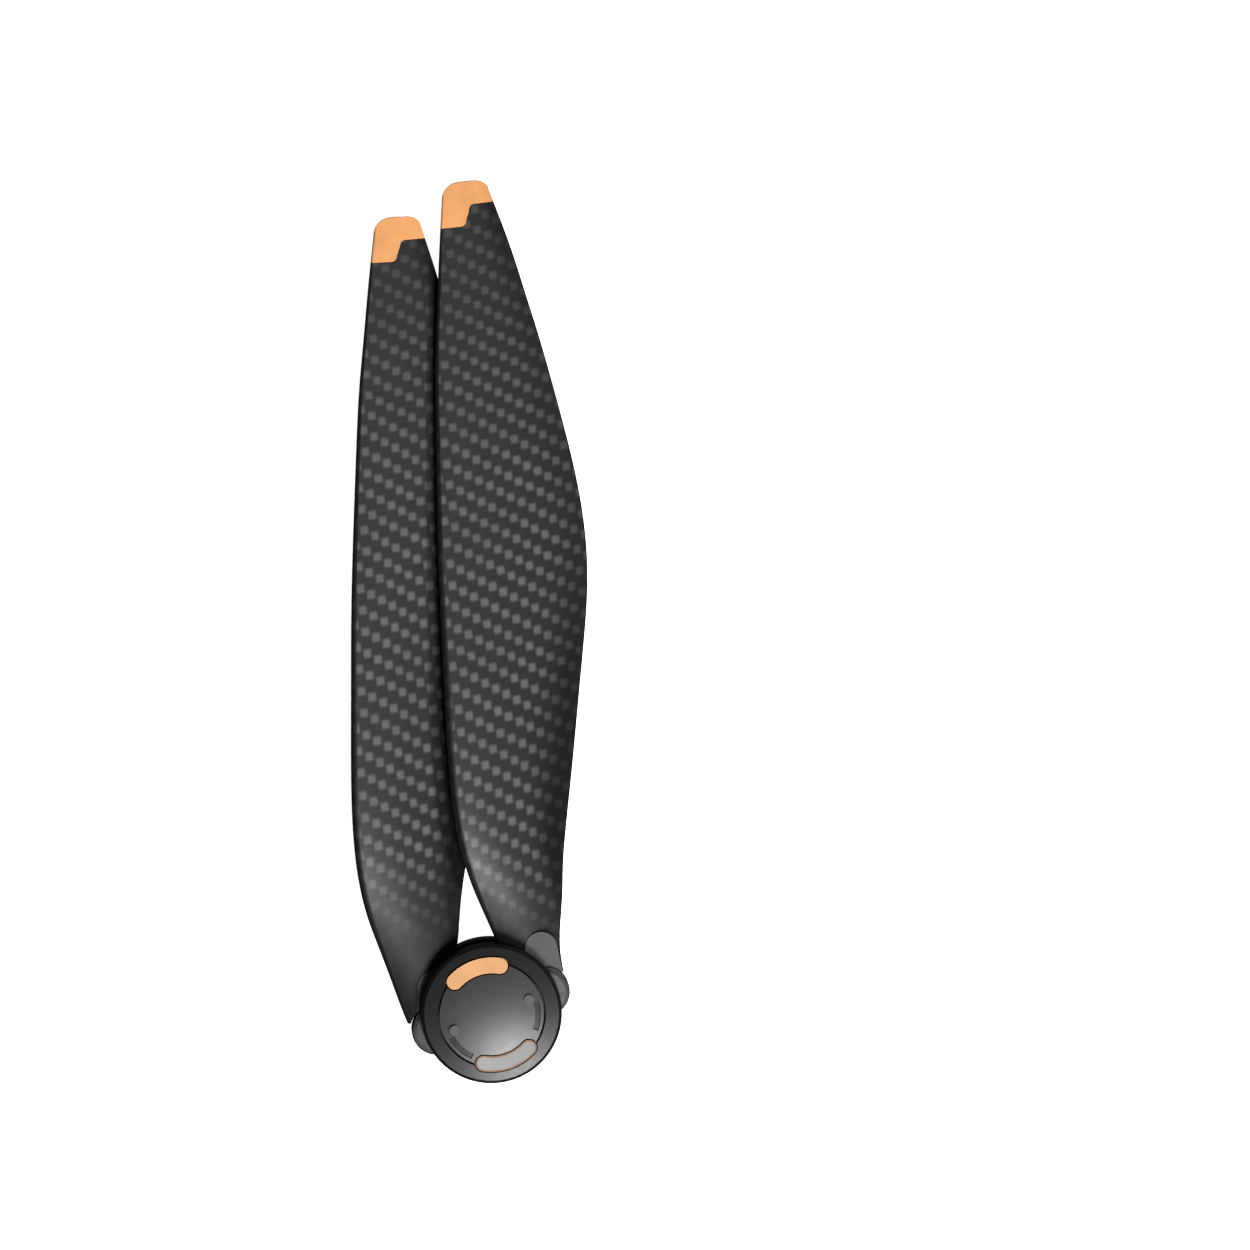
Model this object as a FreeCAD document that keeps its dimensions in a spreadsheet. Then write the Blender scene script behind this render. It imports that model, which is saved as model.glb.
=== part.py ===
import FreeCAD, Part
import Sketcher
import math
import os

# Folding two-blade propeller with a quick-release hub, in millimetres.
# The hub turns about Z. The origin is on that axis, at the face that sits on the motor.
# Each blade is hinged on a pivot screw. Both blades are modelled folded side by side along +Y.

DRIVING_SIZES = {
    # hub
    "hub_radius": 9.7,
    "base_radius": 9.6,
    "base_height": 3.0,
    "slot_height": 3.6,
    "shell_height": 2.4,
    "shell_fall": 0.3,
    "post_radius": 4.0,
    "rim_chamfer": 0.45,
    "base_chamfer": 0.2,
    "pivot_radius": 7.95,
    "pivot_line_angle": 19.2,
    # motor interface
    "socket_radius": 5.4,
    "socket_depth": 1.4,
    "plate_radius": 5.0,
    "plate_thickness": 0.8,
    "plate_hole_radius": 2.2,
    "lug_slot_reach": 3.1,
    "lug_slot_width": 1.7,
    "lug_slot_count": 3,
    "lug_chamber_radius": 3.2,
    "lug_chamber_depth": 2.0,
    "spindle_radius": 1.6,
    "bush_wall": 1.0,
    "bush_spigot": 0.6,
    # pivot hardware
    "shank_radius": 1.05,
    "shank_clearance": 0.05,
    "bearing_wall": 0.5,
    "screw_head_radius": 1.3,
    "screw_head_height": 0.9,
    "screw_head_sink": 0.25,
    "screw_socket_radius": 0.75,
    "screw_socket_depth": 0.5,
    "thread_radius": 0.8,
    "nut_radius": 1.4,
    "nut_height": 1.0,
    "washer_radius": 2.8,
    "washer_thickness": 0.25,
    "washer_clearance": 0.05,
    # cap and marks
    "cap_radius": 7.15,
    "cap_gap": 0.2,
    "cap_seat_depth": 1.0,
    "cap_edge_rise": 0.05,
    "cap_dome_rise": 0.6,
    "mark_circle_radius": 6.87,
    "mark_half_width": 1.1,
    "mark_half_angle": 28.5,
    "mark_gap": 0.18,
    "mark_rise": 0.15,
    "mark_frame_wall": 0.22,
    "mark_tray_floor": 0.4,
    "nub_circle_radius": 5.5,
    "nub_radius": 0.7,
    "nub_angle": 3.0,
    "nub_rise": 0.3,
    "band_inner_radius": 5.95,
    "band_outer_radius": 6.75,
    "band_depth": 0.22,
    "band_sweep": 36.0,
    "right_band_angle": -21.0,
    "left_band_angle": 208.0,
    # blade root
    "eye_radius": 3.4,
    "eye_round": 0.4,
    "tongue_reach": 6.2,
    "tongue_radius": 2.2,
    "tongue_base": 2.7,
    "tongue_bore_wall": 0.3,
    "tongue_drop": 0.1,
    "root_gap": 0.2,
    "root_groove_width": 0.4,
    "root_groove_depth": 0.6,
    # blade
    "blade_length": 112.3,
    "blade_chord": 20.4,
    "right_fold_angle": 95.43,
    "left_fold_angle": 92.46,
    # tip
    "tip_long_edge": 6.05,
    "tip_short_edge": 3.15,
    "tip_step_place": -0.3,
    "tip_step_round": 0.8,
    "tip_step_lean": 0.5,
    "tip_front_round": 2.5,
    "tip_rear_round": 2.2,
}

# Blade stations near the root, from inside the hub to where the whole chord has left it.
# place is a share of the way out to that point; lead and trail are the two edges' distances
# from the blade's axis, thick is a share of the eye's height, tail is the rear edge's radius as a
# share of the thickness, and pitch is in degrees.
ROOT_STATIONS = [
    {"place": 0.08, "lead": 3.9, "trail": 3.0, "thick": 0.80, "tail": 0.32, "pitch": 0.0},
    {"place": 0.35, "lead": 5.0, "trail": 2.7, "thick": 0.80, "tail": 0.32, "pitch": 0.5},
    {"place": 0.65, "lead": 6.1, "trail": 2.9, "thick": 0.77, "tail": 0.24, "pitch": 2.5},
    {"place": 1.00, "lead": 7.4, "trail": 3.7, "thick": 0.75, "tail": 0.16, "pitch": 9.0},
]

# Stations of the free blade. place is a share of the way from the hub to the tip,
# lead and trail are shares of the greatest chord, and thick is in millimetres.
SPAN_STATIONS = [
    {"place": 0.080, "lead": 0.461, "trail": 0.248, "thick": 2.40, "tail": 0.105, "pitch": 18.5},
    {"place": 0.170, "lead": 0.495, "trail": 0.340, "thick": 2.20, "tail": 0.090, "pitch": 21.5},
    {"place": 0.280, "lead": 0.483, "trail": 0.443, "thick": 2.00, "tail": 0.100, "pitch": 21.0},
    {"place": 0.400, "lead": 0.456, "trail": 0.549, "thick": 1.80, "tail": 0.110, "pitch": 19.0},
    {"place": 0.500, "lead": 0.429, "trail": 0.583, "thick": 1.65, "tail": 0.120, "pitch": 17.0},
    {"place": 0.600, "lead": 0.392, "trail": 0.543, "thick": 1.50, "tail": 0.130, "pitch": 15.3},
    {"place": 0.720, "lead": 0.343, "trail": 0.446, "thick": 1.30, "tail": 0.140, "pitch": 13.5},
    {"place": 0.840, "lead": 0.272, "trail": 0.327, "thick": 1.10, "tail": 0.160, "pitch": 12.0},
    {"place": 0.930, "lead": 0.211, "trail": 0.224, "thick": 0.95, "tail": 0.170, "pitch": 11.0},
    {"place": 0.966, "lead": 0.184, "trail": 0.174, "thick": 0.85, "tail": 0.190, "pitch": 10.7},
    {"place": 1.000, "lead": 0.162, "trail": 0.130, "thick": 0.75, "tail": 0.210, "pitch": 10.5},
]
NOSE_SHARE = 0.36          # the nose's radius as a share of the section's thickness

FULL_TURN = 360.0
SKETCH_CENTRE = 3          # the number Sketcher gives a circle's or an arc's centre
START = 1
END = 2
QUARTER_ARC = 0.207        # the height of a quarter circle over its chord
SHALLOW_ARC = 0.02
TINY = 1e-4

doc = FreeCAD.newDocument("FoldingPropeller")
sheet = doc.addObject("Spreadsheet::Sheet", "Sizes")
sub_parts = []


# ---------------------------------------------------------------- spreadsheet

def write_sizes():
    row = 1
    for name, value in DRIVING_SIZES.items():
        row = write_size(row, name, value)
    for number, station in enumerate(ROOT_STATIONS + SPAN_STATIONS):
        for name, value in station.items():
            row = write_size(row, "%s_%d" % (name, number), value)
    doc.recompute()


def write_size(row, name, value):
    sheet.set("A%d" % row, name)
    sheet.set("B%d" % row, str(value))
    sheet.setAlias("B%d" % row, name)
    return row + 1


def bind(thing, path, formula):
    """Binds a property to a formula whose words are the sheet's names."""
    words = []
    for word in formula.split(" "):
        plain = word.strip("()-")
        if plain in DRIVING_SIZES or plain.rstrip("0123456789").rstrip("_") in ROOT_STATIONS[0]:
            word = word.replace(plain, "Sizes." + plain)
        words.append(word)
    thing.setExpression(path, " ".join(words))


# ---------------------------------------------------------------- sketches

def new_body(label, angle="0", x="0", y="0", z="0"):
    """A sub-part, turned about Z by angle and placed at x, y, z."""
    body = doc.addObject("PartDesign::Body", label)
    body.Label = label
    body.Placement = FreeCAD.Placement(FreeCAD.Vector(), FreeCAD.Rotation(FreeCAD.Vector(0, 0, 1), 1.0))
    bind(body, "Placement.Rotation.Angle", angle)
    bind(body, "Placement.Base.x", x)
    bind(body, "Placement.Base.y", y)
    bind(body, "Placement.Base.z", z)
    sub_parts.append(body)
    return body


def new_sketch(body, name, role, height="0", turn="0", turn_axis=(0, 0, 1)):
    """A sketch on one of the body's own origin planes, moved along the plane's normal by height."""
    sketch = body.newObject("Sketcher::SketchObject", name)
    plane = [item for item in body.Origin.OriginFeatures if item.Role == role][0]
    sketch.AttachmentSupport = [(plane, "")]
    sketch.MapMode = "FlatFace"
    axis = FreeCAD.Vector(*turn_axis)
    sketch.AttachmentOffset = FreeCAD.Placement(FreeCAD.Vector(), FreeCAD.Rotation(axis, 1.0))
    bind(sketch, "AttachmentOffset.Rotation.Angle", turn)
    bind(sketch, "AttachmentOffset.Base.z", height)
    return sketch


def constrain(sketch, kind, *details, formula=None, guess=1.0):
    """Adds a constraint. A formula drives its value, and guess is what the sketch starts from."""
    if formula is None:
        sketch.addConstraint(Sketcher.Constraint(kind, *details))
        return
    index = sketch.addConstraint(Sketcher.Constraint(kind, *details, guess))
    bind(sketch, "Constraints[%d]" % index, formula)


def draw_circle(sketch, radius, x="0", y="0"):
    circle = Part.Circle(FreeCAD.Vector(0, 0, 0), FreeCAD.Vector(0, 0, 1), 1.0)
    index = sketch.addGeometry(circle, False)
    constrain(sketch, "Radius", index, formula=radius)
    constrain(sketch, "DistanceX", index, SKETCH_CENTRE, formula=x)
    constrain(sketch, "DistanceY", index, SKETCH_CENTRE, formula=y)


def draw_outline(sketch, corners, arcs=None):
    """A closed outline through the corners, each a pair of formulas.

    arcs names the edges that are round. Each gives its centre's x, and its bulge: the arc's height
    as a share of its chord, positive where the arc runs anticlockwise.
    """
    arcs = arcs or {}
    count = len(corners)
    guess = [FreeCAD.Vector(math.cos(math.tau * i / count), math.sin(math.tau * i / count), 0)
             for i in range(count)]
    chords = [sketch.addGeometry(Part.LineSegment(guess[i], guess[(i + 1) % count]), i in arcs)
              for i in range(count)]
    for i, (x, y) in enumerate(corners):
        constrain(sketch, "Coincident", chords[i - 1], END, chords[i], START)
        constrain(sketch, "DistanceX", chords[i], START, formula=x)
        constrain(sketch, "DistanceY", chords[i], START, formula=y)
    if arcs:
        doc.recompute()
    for i, arc in arcs.items():
        chord = sketch.Geometry[chords[i]]
        along = chord.EndPoint - chord.StartPoint
        across = FreeCAD.Vector(along.y, -along.x, 0)
        middle = (chord.StartPoint + chord.EndPoint) * 0.5 + across * arc["bulge"]
        first, last = (START, END) if arc["bulge"] > 0 else (END, START)
        ends = {START: chord.StartPoint, END: chord.EndPoint}
        index = sketch.addGeometry(Part.Arc(ends[first], middle, ends[last]), False)
        constrain(sketch, "Coincident", index, START, chords[i], first)
        constrain(sketch, "Coincident", index, END, chords[i], last)
        constrain(sketch, "DistanceX", index, SKETCH_CENTRE, formula=arc["centre_x"])


# ---------------------------------------------------------------- features

def pad(body, name, sketch, length):
    feature = body.newObject("PartDesign::Pad", name)
    feature.Profile = sketch
    bind(feature, "Length", length)
    return feature


def pocket(body, name, sketch, depth=None, upwards=False):
    """Cuts downwards from the sketch, or through everything on both sides without a depth."""
    doc.recompute()
    volume = body.Shape.Volume
    feature = body.newObject("PartDesign::Pocket", name)
    feature.Profile = sketch
    if depth is None:
        feature.Type = "ThroughAll"
        feature.SideType = "Symmetric"
    else:
        feature.Type = "Length"
        feature.Reversed = upwards
        bind(feature, "Length", depth)
    expect_change(body, name, volume)
    return feature


def revolve(body, name, sketch, kind="Revolution", angle=None):
    """Turns the profile about Z: a full turn, or an angle centred on the sketch's own plane."""
    doc.recompute()
    volume = 0.0 if kind == "Revolution" else body.Shape.Volume
    feature = body.newObject("PartDesign::" + kind, name)
    feature.Profile = sketch
    feature.ReferenceAxis = (sketch, ["V_Axis"])
    if angle is None:
        feature.Angle = FULL_TURN
    else:
        feature.Midplane = True
        bind(feature, "Angle", angle)
    expect_change(body, name, volume)
    return feature


def repeat_about_axis(body, name, features, count):
    doc.recompute()
    volume = body.Shape.Volume
    pattern = body.newObject("PartDesign::PolarPattern", name)
    pattern.Originals = features
    axis = [item for item in body.Origin.OriginFeatures if item.Role == "Z_Axis"][0]
    pattern.Axis = (axis, [""])
    pattern.Angle = FULL_TURN
    bind(pattern, "Occurrences", count)
    body.Tip = pattern
    expect_change(body, name, volume)
    return pattern


def break_edges(body, name, kind, size, wanted):
    """Rounds or chamfers the edges of the body's tip for which wanted is true."""
    doc.recompute()
    base = body.Tip
    names = ["Edge%d" % (i + 1) for i, edge in enumerate(base.Shape.Edges) if wanted(edge)]
    if not names:
        raise RuntimeError("%s finds no edge on %s" % (name, body.Label))
    feature = body.newObject("PartDesign::" + kind, name)
    feature.Base = (base, names)
    bind(feature, "Radius" if kind == "Fillet" else "Size", size)
    return feature


def expect_change(body, name, volume_before):
    doc.recompute()
    if abs(body.Shape.Volume - volume_before) < TINY:
        raise RuntimeError("%s changes nothing on %s" % (name, body.Label))


def size(name):
    return float(sheet.get(name))


def eye_height():
    return size("slot_height") - 2 * size("washer_thickness") - 2 * size("washer_clearance")


def is_ring(edge, radius, height):
    """True for a whole circle or an arc about Z of that radius, at that height in the body."""
    if edge.Curve.TypeId != "Part::GeomCircle":
        return False
    centre = edge.Curve.Center
    on_axis = math.hypot(centre.x, centre.y) < TINY
    return on_axis and abs(edge.Curve.Radius - radius) < TINY and abs(centre.z - height) < TINY


def turned_part(label, profile, **placement):
    """A piece made on a lathe. profile is its half section: pairs of radius and height."""
    body = new_body(label, **placement)
    sketch = new_sketch(body, label + "_half_section", "XZ_Plane")
    draw_outline(sketch, profile)
    revolve(body, label + "_turned", sketch)
    return body


# ---------------------------------------------------------------- heights that pieces share

SHELL_FLOOR = "( base_height + slot_height )"
SHELL_TOP = "( base_height + slot_height + shell_height )"
CAP_SEAT = "( base_height + slot_height + shell_height - cap_seat_depth )"
SLOT_MIDDLE = "( base_height + slot_height / 2 )"
EYE_HEIGHT = "( slot_height - 2 * washer_thickness - 2 * washer_clearance )"
PLATE_TOP = "( socket_depth + plate_thickness )"
CHAMBER_TOP = "( socket_depth + plate_thickness + lug_chamber_depth )"
BUSH_RADIUS = "( spindle_radius + bush_wall )"
BUSH_TOP = "( base_height + slot_height + bush_spigot )"
HEAD_SEAT = "( screw_head_sink + screw_head_height )"
SHANK_HOLE = "( shank_radius + shank_clearance )"
EYE_BORE = "( shank_radius + shank_clearance + bearing_wall )"
TONGUE_START = "( shank_radius + shank_clearance + bearing_wall + tongue_bore_wall )"


# ---------------------------------------------------------------- mark windows

def draw_bean(body, name, half_width, height, floor):
    """The two sketches of a curved bar with round ends, centred on the body's +Y axis."""
    inner = "( mark_circle_radius - %s )" % half_width
    outer = "( mark_circle_radius + %s )" % half_width
    section = new_sketch(body, name + "_section", "YZ_Plane")
    draw_outline(section, [(inner, floor), (outer, floor), (outer, height), (inner, height)])
    ends = new_sketch(body, name + "_ends", "XY_Plane", floor)
    across = "mark_circle_radius * sin( mark_half_angle )"
    along = "mark_circle_radius * cos( mark_half_angle )"
    draw_circle(ends, half_width, across, along)
    draw_circle(ends, half_width, "- " + across, along)
    return section, ends


def add_bean(body, name, half_width, height, floor):
    section, ends = draw_bean(body, name, half_width, height, floor)
    revolve(body, name + "_bar", section, "Revolution", "2 * mark_half_angle")
    pad(body, name + "_end_caps", ends, "%s - %s" % (height, floor))


def cut_bean(body, name, half_width, height, floor):
    section, ends = draw_bean(body, name, half_width, height, floor)
    bar = revolve(body, name + "_bar", section, "Groove", "2 * mark_half_angle")
    caps = pocket(body, name + "_end_caps", ends, "%s - %s" % (height, floor), upwards=True)
    return [bar, caps]


# ---------------------------------------------------------------- hub

def make_hub_base():
    """The lower moulding: seat, bayonet socket and the post that carries the upper shell."""
    body = turned_part("hub_base", [
        ("socket_radius", "0"),
        ("base_radius - base_chamfer", "0"),
        ("base_radius", "base_chamfer"),
        ("base_radius", "base_height"),
        ("post_radius", "base_height"),
        ("post_radius", SHELL_FLOOR),
        (BUSH_RADIUS, SHELL_FLOOR),
        (BUSH_RADIUS, CHAMBER_TOP),
        ("lug_chamber_radius", CHAMBER_TOP),
        ("lug_chamber_radius", PLATE_TOP),
        ("plate_radius", PLATE_TOP),
        ("plate_radius", "socket_depth"),
        ("socket_radius", "socket_depth"),
    ], angle="pivot_line_angle")
    heads = new_sketch(body, "head_seats", "XY_Plane")
    draw_circle(heads, "screw_head_radius + shank_clearance", "pivot_radius")
    seat = pocket(body, "head_seat", heads, HEAD_SEAT, upwards=True)
    shanks = new_sketch(body, "shank_holes", "XY_Plane")
    draw_circle(shanks, SHANK_HOLE, "pivot_radius")
    hole = pocket(body, "shank_hole", shanks, "base_height", upwards=True)
    repeat_about_axis(body, "both_pivots", [seat, hole], "2")


def make_bayonet_plate():
    """The steel plate in the socket: a centre hole and slots that the motor's lugs pass."""
    body = new_body("bayonet_plate", angle="pivot_line_angle")
    disc = new_sketch(body, "plate_disc", "XY_Plane", "socket_depth")
    draw_circle(disc, "plate_radius")
    pad(body, "plate_blank", disc, "plate_thickness")
    hole = new_sketch(body, "plate_hole", "XY_Plane", "socket_depth")
    draw_circle(hole, "plate_hole_radius")
    pocket(body, "plate_centre_hole", hole, "plate_thickness", upwards=True)
    slot = new_sketch(body, "plate_slot", "XY_Plane", "socket_depth")
    draw_outline(slot, [
        ("plate_hole_radius / 2", "- lug_slot_width / 2"),
        ("lug_slot_reach", "- lug_slot_width / 2"),
        ("lug_slot_reach", "lug_slot_width / 2"),
        ("plate_hole_radius / 2", "lug_slot_width / 2"),
    ])
    lug = pocket(body, "plate_lug_slot", slot, "plate_thickness", upwards=True)
    repeat_about_axis(body, "plate_lug_slots", [lug], "lug_slot_count")


def make_spindle_bush():
    """The brass bush in the post that centres the hub on the motor's spindle."""
    turned_part("spindle_bush", [
        ("spindle_radius", CHAMBER_TOP),
        (BUSH_RADIUS, CHAMBER_TOP),
        (BUSH_RADIUS, BUSH_TOP),
        ("spindle_radius", BUSH_TOP),
    ])


def make_hub_shell():
    """The upper moulding: a disc over the blade roots, with the seats of the cap and the marks."""
    rim_inner = "cap_radius + cap_gap"
    body = turned_part("hub_top_shell", [
        (BUSH_RADIUS, SHELL_FLOOR),
        ("hub_radius", SHELL_FLOOR),
        ("hub_radius", SHELL_TOP + " - shell_fall - rim_chamfer"),
        ("hub_radius - rim_chamfer", SHELL_TOP + " - shell_fall"),
        (rim_inner, SHELL_TOP),
        (rim_inner, CAP_SEAT),
        ("0", CAP_SEAT),
        ("0", BUSH_TOP),
        (BUSH_RADIUS, BUSH_TOP),
    ], angle="pivot_line_angle")
    window = cut_bean(body, "shell_window", "( mark_half_width + mark_gap )", SHELL_TOP, CAP_SEAT)
    repeat_about_axis(body, "shell_windows", window, "2")
    nuts = new_sketch(body, "nut_seats", "XY_Plane", SHELL_FLOOR)
    draw_circle(nuts, "nut_radius", "pivot_radius")
    seat = pocket(body, "nut_seat", nuts, "nut_height", upwards=True)
    repeat_about_axis(body, "both_nut_seats", [seat], "2")
    radius = size("cap_radius") + size("cap_gap")
    height = size("base_height") + size("slot_height") + size("shell_height")
    break_edges(body, "groove_edge", "Chamfer", "cap_gap / 2", lambda edge: is_ring(edge, radius, height))


def make_hub_cap():
    """The domed cap with two snap nubs and two shallow curved recesses beside them."""
    edge_top = "( %s + cap_edge_rise )" % SHELL_TOP
    dome_top = "( %s + cap_dome_rise )" % SHELL_TOP
    body = new_body("hub_cap", angle="pivot_line_angle")
    half = new_sketch(body, "cap_half_section", "XZ_Plane")
    draw_outline(half, [
        ("0", CAP_SEAT),
        ("cap_radius", CAP_SEAT),
        ("cap_radius", edge_top),
        ("0", dome_top),
    ], arcs={2: {"centre_x": "0", "bulge": SHALLOW_ARC}})
    revolve(body, "cap_turned", half)
    nub = new_sketch(body, "cap_nub_circle", "XY_Plane", SHELL_TOP)
    draw_circle(nub, "nub_radius",
                "nub_circle_radius * cos( nub_angle )", "nub_circle_radius * sin( nub_angle )")
    nub_pad = pad(body, "cap_nub", nub, "nub_rise + cap_dome_rise / 2")
    repeat_about_axis(body, "cap_nubs", [nub_pad], "2")
    for side in ("right", "left"):
        name = side + "_band"
        section = new_sketch(body, name + "_section", "XZ_Plane", turn=name + "_angle", turn_axis=(0, 1, 0))
        draw_outline(section, [
            ("band_inner_radius", edge_top),
            ("band_outer_radius", edge_top + " - band_depth"),
            ("band_outer_radius", dome_top),
            ("band_inner_radius", dome_top),
        ])
        revolve(body, name, section, "Groove", "band_sweep")
    notch = cut_bean(body, "cap_notch", "( mark_half_width + mark_gap )", dome_top, CAP_SEAT)
    repeat_about_axis(body, "cap_notches", notch, "2")


def make_marks():
    """Two curved marks that show which side is which: one plain, one framed by a thin rim."""
    mark_top = "( %s + mark_rise )" % SHELL_TOP
    orange = new_body("orange_mark", angle="pivot_line_angle")
    add_bean(orange, "orange_bean", "mark_half_width", mark_top, CAP_SEAT)
    frame = new_body("grey_mark_frame", angle="pivot_line_angle + 180")
    add_bean(frame, "frame_bean", "mark_half_width", mark_top, CAP_SEAT)
    hollow = "( mark_half_width - mark_frame_wall )"
    tray_floor = "( %s + mark_tray_floor )" % CAP_SEAT
    cut_bean(frame, "frame_hollow", hollow, mark_top, tray_floor)
    grey = new_body("grey_mark", angle="pivot_line_angle + 180")
    add_bean(grey, "grey_bean", hollow, mark_top, tray_floor)


# ---------------------------------------------------------------- blade sections

def station_place(number):
    """Formula of a station's distance from the pivot along the blade."""
    clear_of_hub = "( hub_radius + pivot_radius * cos( left_fold_angle - pivot_line_angle ) )"
    if number < len(ROOT_STATIONS):
        return "place_%d * %s" % (number, clear_of_hub)
    return "%s + place_%d * ( blade_length - %s )" % (clear_of_hub, number, clear_of_hub)


def draw_blade_section(body, number):
    """A flat-bottomed wing section: round nose, arched top and thin round tail, pitched nose up."""
    pitch_formula = "pitch_%d" % number
    place = "- ( %s )" % station_place(number)
    sketch = new_sketch(body, "section_%d" % number, "XZ_Plane", place, "- " + pitch_formula)
    if number < len(ROOT_STATIONS):
        wide, wide_formula = 1.0, ""
        deep, deep_formula = eye_height(), " * " + EYE_HEIGHT
    else:
        wide, wide_formula = size("blade_chord"), " * blade_chord"
        deep, deep_formula = 1.0, ""
    lean = math.cos(math.radians(size(pitch_formula)))
    thick = size("thick_%d" % number) * deep
    nose = NOSE_SHARE * thick
    tail = size("tail_%d" % number) * thick
    nose_x = nose - size("lead_%d" % number) * wide / lean
    tail_x = size("trail_%d" % number) * wide / lean - tail
    bottom = -thick / 2
    # The arched top touches the nose and the tail, and its highest point is thick above the bottom.
    nose_root = math.sqrt(thick - 2 * nose)
    tail_root = math.sqrt(thick - 2 * tail)
    span_root = (tail_x - nose_x) / (nose_root + tail_root)
    arch = (span_root ** 2 + thick) / 2
    arch_centre = FreeCAD.Vector(nose_x + nose_root * span_root, thick / 2 - arch, 0)
    nose_centre = FreeCAD.Vector(nose_x, nose + bottom, 0)
    tail_centre = FreeCAD.Vector(tail_x, tail + bottom, 0)
    up = FreeCAD.Vector(0, 0, 1)
    nose_angle = math.atan2(nose_centre.y - arch_centre.y, nose_centre.x - arch_centre.x)
    tail_angle = math.atan2(tail_centre.y - arch_centre.y, tail_centre.x - arch_centre.x)
    straight_down = 1.5 * math.pi
    nose_arc = Part.ArcOfCircle(Part.Circle(nose_centre, up, nose), nose_angle, straight_down)
    under = Part.LineSegment(FreeCAD.Vector(nose_x, bottom, 0), FreeCAD.Vector(tail_x, bottom, 0))
    tail_arc = Part.ArcOfCircle(Part.Circle(tail_centre, up, tail), -math.pi / 2, tail_angle)
    top_arc = Part.ArcOfCircle(Part.Circle(arch_centre, up, arch), tail_angle, nose_angle)
    nose_arc, under, tail_arc, top_arc = [sketch.addGeometry(item, False)
                                          for item in (nose_arc, under, tail_arc, top_arc)]
    constrain(sketch, "Tangent", nose_arc, END, under, START)
    constrain(sketch, "Tangent", under, END, tail_arc, START)
    constrain(sketch, "Tangent", tail_arc, END, top_arc, START)
    constrain(sketch, "Tangent", top_arc, END, nose_arc, START)
    constrain(sketch, "Horizontal", under)
    thick_formula = "thick_%d%s" % (number, deep_formula)
    nose_formula = "%s * %s" % (NOSE_SHARE, thick_formula)
    tail_formula = "tail_%d * %s" % (number, thick_formula)
    nose_x_formula = "%s - lead_%d%s / cos( %s )" % (nose_formula, number, wide_formula, pitch_formula)
    tail_x_formula = "trail_%d%s / cos( %s ) - %s" % (number, wide_formula, pitch_formula, tail_formula)
    span_formula = "( ( %s - ( %s ) ) / ( sqrt( %s - 2 * %s ) + sqrt( %s - 2 * %s ) ) )" % (
        tail_x_formula, nose_x_formula, thick_formula, nose_formula, thick_formula, tail_formula)
    arch_formula = "( %s * %s + %s ) / 2" % (span_formula, span_formula, thick_formula)
    constrain(sketch, "Radius", nose_arc, formula=nose_formula, guess=nose)
    constrain(sketch, "Radius", tail_arc, formula=tail_formula, guess=tail)
    constrain(sketch, "Radius", top_arc, formula=arch_formula, guess=arch)
    constrain(sketch, "DistanceX", nose_arc, SKETCH_CENTRE, formula=nose_x_formula, guess=nose_x)
    constrain(sketch, "DistanceX", tail_arc, SKETCH_CENTRE, formula=tail_x_formula, guess=tail_x)
    constrain(sketch, "DistanceY", under, START, formula="- %s / 2" % thick_formula, guess=bottom)
    return sketch


def loft_blade(body):
    count = len(ROOT_STATIONS) + len(SPAN_STATIONS)
    sections = [draw_blade_section(body, number) for number in range(count)]
    doc.recompute()
    loft = body.newObject("PartDesign::AdditiveLoft", "wing")
    loft.Profile = sections[0]
    loft.Sections = sections[1:]
    loft.Ruled = False
    expect_change(body, "wing", 0.0)


# ---------------------------------------------------------------- blade pieces

def blade_placement(side):
    sign = "" if side == "right" else "- "
    return {
        "angle": side + "_fold_angle - 90",
        "x": sign + "pivot_radius * cos( pivot_line_angle )",
        "y": sign + "pivot_radius * sin( pivot_line_angle )",
        "z": SLOT_MIDDLE,
    }


def draw_tongue(body, name):
    """The root insert's tongue, seen from above: straight flanks that run into a round end."""
    sketch = new_sketch(body, name, "XY_Plane")
    radius = size("tongue_radius")
    reach = size("tongue_reach")
    base = size("tongue_base")
    start = size("shank_radius") + size("shank_clearance") + size("bearing_wall") + size("tongue_bore_wall")
    whole = Part.Circle(FreeCAD.Vector(0, reach, 0), FreeCAD.Vector(0, 0, 1), radius)
    arc = Part.ArcOfCircle(whole, 0, math.pi)
    corners = [FreeCAD.Vector(-radius, reach, 0), FreeCAD.Vector(-base, start, 0),
               FreeCAD.Vector(base, start, 0), FreeCAD.Vector(radius, reach, 0)]
    arc = sketch.addGeometry(arc, False)
    left, foot, right = [sketch.addGeometry(Part.LineSegment(corners[i], corners[i + 1]), False)
                         for i in range(3)]
    constrain(sketch, "Tangent", arc, END, left, START)
    constrain(sketch, "Coincident", left, END, foot, START)
    constrain(sketch, "Coincident", foot, END, right, START)
    constrain(sketch, "Tangent", right, END, arc, START)
    constrain(sketch, "Radius", arc, formula="tongue_radius", guess=radius)
    constrain(sketch, "DistanceX", arc, SKETCH_CENTRE, formula="0", guess=0.0)
    constrain(sketch, "DistanceY", arc, SKETCH_CENTRE, formula="tongue_reach", guess=reach)
    constrain(sketch, "DistanceX", foot, START, formula="- tongue_base", guess=-base)
    constrain(sketch, "DistanceY", foot, START, formula=TONGUE_START, guess=start)
    constrain(sketch, "DistanceX", foot, END, formula="tongue_base", guess=base)
    constrain(sketch, "DistanceY", foot, END, formula=TONGUE_START, guess=start)
    return sketch


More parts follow.
